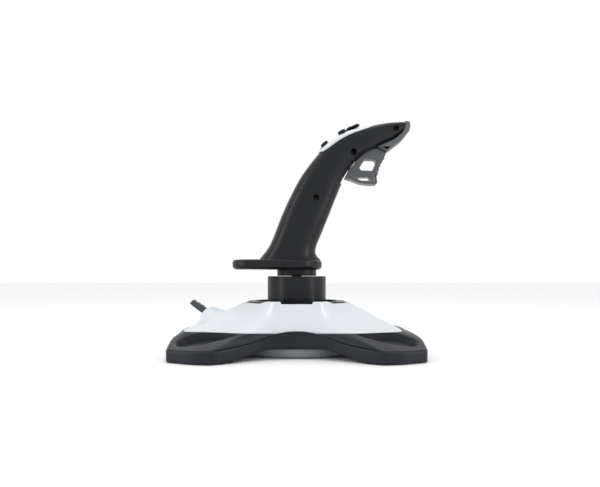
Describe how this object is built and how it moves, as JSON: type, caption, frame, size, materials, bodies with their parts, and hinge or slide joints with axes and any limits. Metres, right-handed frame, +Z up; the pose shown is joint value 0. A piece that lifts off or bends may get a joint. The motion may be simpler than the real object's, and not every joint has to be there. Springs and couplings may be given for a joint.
{
  "type": "flight_joystick",
  "caption": "Desktop flight stick with a weighted four-lobed base, two-axis gimbal, twisting right-hand grip, trigger, hat switch and a small throttle lever.",
  "frame": {"origin": "centre of the base's footprint on the table plane, under the gimbal centre", "axes": "+X points away from the user, towards the nose of the grip; +Y to the user's left; +Z up"},
  "size_m": [0.228, 0.1884, 0.2274],
  "materials": {
    "frame_black": "moulded, fine grain",
    "trim_black": "moulded, fine grain",
    "collar_black": "moulded, fine grain",
    "inner_black": "moulded, fine grain",
    "grip_black": "moulded, fine grain",
    "lever_black": "moulded, fine grain",
    "trim_grey": "moulded, fine grain",
    "trigger_grey": "moulded, fine grain",
    "shell_silver": "satin",
    "pan_grey": "moulded, fine grain",
    "rubber_foot": "matte",
    "screw_steel": "zinc plated",
    "spring_steel": "zinc plated",
    "ballast_steel": "zinc plated",
    "board_green": "moulded, fine grain"
  },
  "bodies": {
    "base": {"base_frame": "frame_black", "bottom_pan": "pan_grey", "base_top_shell": "shell_silver", "dish_ring": "trim_black", "rubber_feet": "rubber_foot", "pan_screws": "screw_steel", "ballast_plate": "ballast_steel", "main_circuit_board": "board_green", "base_button_board": "board_green", "gimbal_housing": "inner_black", "roll_sensor": "inner_black", "throttle_bracket": "inner_black", "throttle_sensor": "inner_black", "cable_gland": "rubber_foot"},
    "gimbal": {"gimbal_ring": "inner_black", "pitch_sensor": "inner_black"},
    "stick": {"stick_shaft": "inner_black", "centring_spring": "spring_steel", "spring_seat": "inner_black", "collar": "collar_black", "twist_sensor": "inner_black"},
    "grip": {"hand_rest": "grip_black", "grip_right_half": "grip_black", "grip_left_half": "grip_black", "grip_screws": "screw_steel", "nose_trim": "trim_grey", "face_plate": "shell_silver", "head_circuit_board": "board_green", "hat_switch_block": "inner_black", "trigger_pin": "screw_steel", "trigger_switch": "inner_black"},
    "trigger": {"trigger": "trigger_grey"},
    "hat_cross": {"hat_rocker": "inner_black"},
    "hat": {"hat_cap": "trim_black"},
    "thumb": {"thumb_button": "trim_black"},
    "throttle": {"throttle_lever": "lever_black"},
    "head_button_1": {"head_button_1": "trim_black"},
    "head_button_2": {"head_button_2": "trim_black"},
    "head_button_3": {"head_button_3": "trim_black"},
    "head_button_4": {"head_button_4": "trim_black"},
    "base_button_1": {"base_button_1": "trim_black"},
    "base_button_2": {"base_button_2": "trim_black"},
    "base_button_3": {"base_button_3": "trim_black"},
    "base_button_4": {"base_button_4": "trim_black"},
    "base_button_5": {"base_button_5": "trim_black"},
    "base_button_6": {"base_button_6": "trim_black"}
  },
  "joints": [
    {"name": "stick_roll", "type": "hinge", "parent": "base", "child": "gimbal", "pos_m": [0, 0, 0.03], "axis": [1, 0, 0], "range_deg": [-15, 15], "stiffness_Nm_per_rad": 3},
    {"name": "stick_pitch", "type": "hinge", "parent": "gimbal", "child": "stick", "pos_m": [0, 0, 0.03], "axis": [0, 1, 0], "range_deg": [-15, 15], "stiffness_Nm_per_rad": 3, "springref_deg": -0.43},
    {"name": "grip_twist", "type": "hinge", "parent": "stick", "child": "grip", "pos_m": [0, 0, 0.076], "axis": [0, 0, 1], "range_deg": [-20, 20], "stiffness_Nm_per_rad": 0.6},
    {"name": "trigger_pull", "type": "hinge", "parent": "grip", "child": "trigger", "pos_m": [0.084, 0, 0.211], "axis": [0, 1, 0], "range_deg": [0, 4], "stiffness_Nm_per_rad": 0.5, "springref_deg": -3.44},
    {"name": "hat_pitch", "type": "hinge", "parent": "grip", "child": "hat_cross", "pos_m": [0.05969, 0, 0.21331], "axis": [0.925, 0, 0.38], "range_deg": [-6, 6], "stiffness_Nm_per_rad": 0.05},
    {"name": "hat_roll", "type": "hinge", "parent": "hat_cross", "child": "hat", "pos_m": [0.05969, 0, 0.21331], "axis": [0, 1, 0], "range_deg": [-6, 6], "stiffness_Nm_per_rad": 0.05},
    {"name": "head_button_1_press", "type": "slide", "parent": "grip", "child": "head_button_1", "axis": [0.4651, 0, -0.8852], "range_m": [0, 0.0009], "stiffness_N_per_m": 250, "springref_m": -0.001},
    {"name": "head_button_2_press", "type": "slide", "parent": "grip", "child": "head_button_2", "axis": [0.4651, 0, -0.8852], "range_m": [0, 0.0009], "stiffness_N_per_m": 250, "springref_m": -0.001},
    {"name": "head_button_3_press", "type": "slide", "parent": "grip", "child": "head_button_3", "axis": [0.6198, 0, -0.7848], "range_m": [0, 0.0009], "stiffness_N_per_m": 250, "springref_m": -0.001},
    {"name": "head_button_4_press", "type": "slide", "parent": "grip", "child": "head_button_4", "axis": [0.6198, 0, -0.7848], "range_m": [0, 0.0009], "stiffness_N_per_m": 250, "springref_m": -0.001},
    {"name": "thumb_press", "type": "slide", "parent": "grip", "child": "thumb", "axis": [0, -1, 0], "range_m": [0, 0.0012], "stiffness_N_per_m": 250, "springref_m": -0.001},
    {"name": "base_button_1_press", "type": "slide", "parent": "base", "child": "base_button_1", "axis": [0, -0.617, -0.787], "range_m": [0, 0.0015], "stiffness_N_per_m": 250, "springref_m": -0.001},
    {"name": "base_button_2_press", "type": "slide", "parent": "base", "child": "base_button_2", "axis": [0, -0.617, -0.787], "range_m": [0, 0.0015], "stiffness_N_per_m": 250, "springref_m": -0.001},
    {"name": "base_button_3_press", "type": "slide", "parent": "base", "child": "base_button_3", "axis": [0, -0.617, -0.787], "range_m": [0, 0.0015], "stiffness_N_per_m": 250, "springref_m": -0.001},
    {"name": "base_button_4_press", "type": "slide", "parent": "base", "child": "base_button_4", "axis": [0, -0.617, -0.787], "range_m": [0, 0.0015], "stiffness_N_per_m": 250, "springref_m": -0.001},
    {"name": "base_button_5_press", "type": "slide", "parent": "base", "child": "base_button_5", "axis": [0, -0.617, -0.787], "range_m": [0, 0.0015], "stiffness_N_per_m": 250, "springref_m": -0.001},
    {"name": "base_button_6_press", "type": "slide", "parent": "base", "child": "base_button_6", "axis": [0, -0.617, -0.787], "range_m": [0, 0.0015], "stiffness_N_per_m": 250, "springref_m": -0.001},
    {"name": "throttle_swing", "type": "hinge", "parent": "base", "child": "throttle", "pos_m": [-0.0822, 0, 0.0292], "axis": [0, 1, 0], "range_deg": [-22, 22]}
  ]
}
